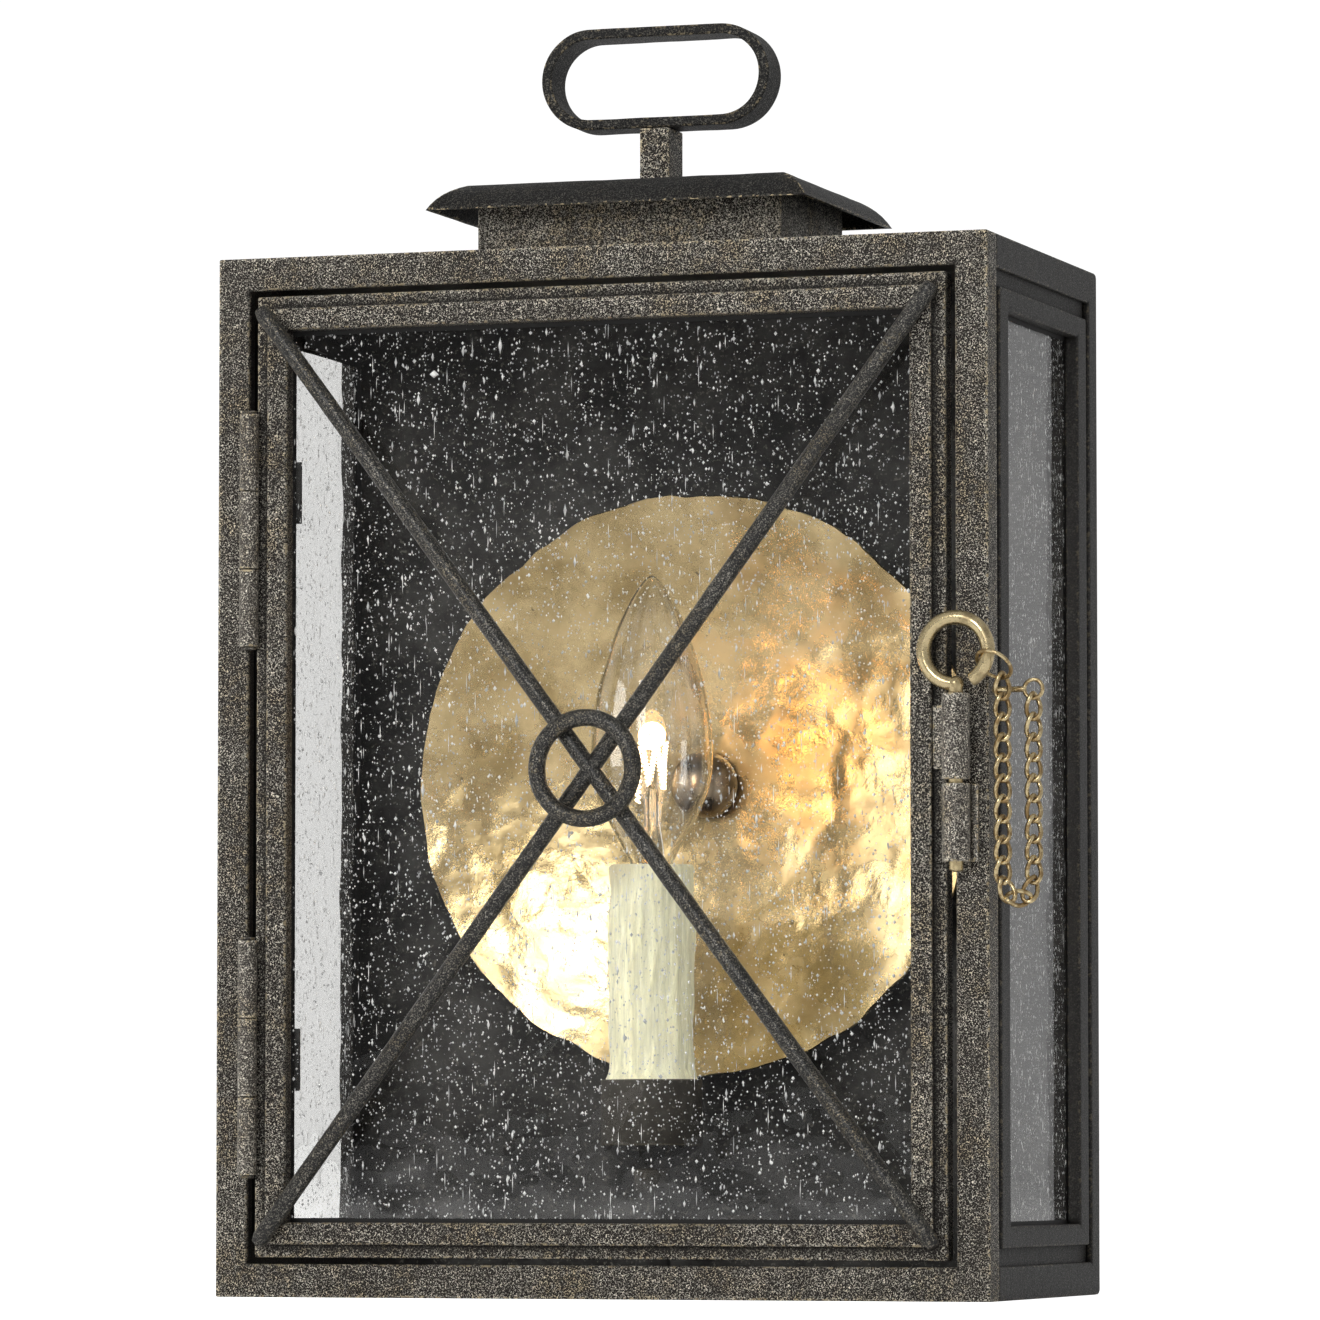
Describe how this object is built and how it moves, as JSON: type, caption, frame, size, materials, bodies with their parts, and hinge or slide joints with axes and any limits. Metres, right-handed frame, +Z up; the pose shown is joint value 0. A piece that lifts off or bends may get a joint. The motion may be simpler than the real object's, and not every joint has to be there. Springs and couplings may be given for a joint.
{
  "type": "outdoor wall lantern",
  "caption": "Box-shaped wall lantern with a hinged glazed door, crossed rods, a ring-pin latch on a chain, a candle lamp and a dished brass reflector.",
  "frame": {"origin": "centre of the wall crossbar's screw pattern, on the wall plane, at half the box's height", "axes": "+X to the lantern's right as seen by someone facing it, +Y into the wall, +Z up"},
  "size_m": [0.2426, 0.1263, 0.3641],
  "materials": {
    "bronze_paint": "textured antique bronze powder coat with worn gold speckle",
    "dark_paint": "dark textured bronze paint",
    "seeded_glass": "clear glass with seeds and short streaks",
    "clear_glass": "thin clear lamp glass",
    "aged_brass": "aged brass, rubbed bright on its edges",
    "hammered_brass": "hammered and polished brass with a hand-cut edge",
    "bronzed_brass": "dark bronzed brass, glossy",
    "zinc_steel": "zinc plated",
    "green_screw": "green passivated screw",
    "black_plastic": "moulded phenolic, matt black",
    "ivory_sleeve": "drip candle sleeve, ivory wax with a fine vertical grain",
    "lamp_cap_brass": "bright lamp cap",
    "filament": "lit filament on its glass stem"
  },
  "bodies": {
    "root": {"front_frame": "bronze_paint", "left_side_frame": "bronze_paint", "right_side_frame": "bronze_paint", "top_plate": "dark_paint", "bottom_plate": "dark_paint", "back_pan": "dark_paint", "left_window_frame": "bronze_paint", "right_window_frame": "bronze_paint", "left_window_glass": "seeded_glass", "right_window_glass": "seeded_glass", "window_glass_clips": "dark_paint", "roof_riser": "bronze_paint", "roof_plate": "bronze_paint", "handle_stem": "bronze_paint", "handle_loop": "bronze_paint", "reflector_disc": "hammered_brass", "reflector_washer": "bronzed_brass", "dome_nut": "bronzed_brass", "threaded_nipple": "zinc_steel", "wall_crossbar": "zinc_steel", "nipple_lock_nut": "zinc_steel", "ground_screw": "green_screw", "wire_bushing": "black_plastic", "candle_stem": "dark_paint", "candle_cup": "dark_paint", "candle_sleeve": "ivory_sleeve", "lampholder": "black_plastic", "lamp_cap": "lamp_cap_brass", "lamp_envelope": "clear_glass", "lamp_filament": "filament", "frame_hinge_leaves": "bronze_paint", "hinge_pins": "bronze_paint", "frame_latch_barrel": "bronze_paint", "chain_eyelet": "aged_brass", "chain_frame_side": "aged_brass", "chain_pin_side": "aged_brass"},
    "door": {"door_frame": "bronze_paint", "door_glass": "seeded_glass", "door_glass_clips": "dark_paint", "front_cross_rod": "bronze_paint", "rear_cross_rod": "bronze_paint", "centre_ring": "bronze_paint", "door_hinge_leaves": "bronze_paint", "door_latch_barrel": "bronze_paint"},
    "latch_pin": {"ring_pin": "aged_brass", "pin_jump_ring": "aged_brass"}
  },
  "joints": [
    {"name": "door_hinge", "type": "hinge", "parent": "root", "child": "door", "pos_m": [-0.1033, -0.117, 0], "axis": [0, 0, -1], "range_deg": [0, 115]},
    {"name": "latch_pin_slide", "type": "slide", "parent": "root", "child": "latch_pin", "axis": [0, 0, 1], "range_m": [0, 0.055], "deforming": ["chain_pin_side", "chain_frame_side"]}
  ]
}
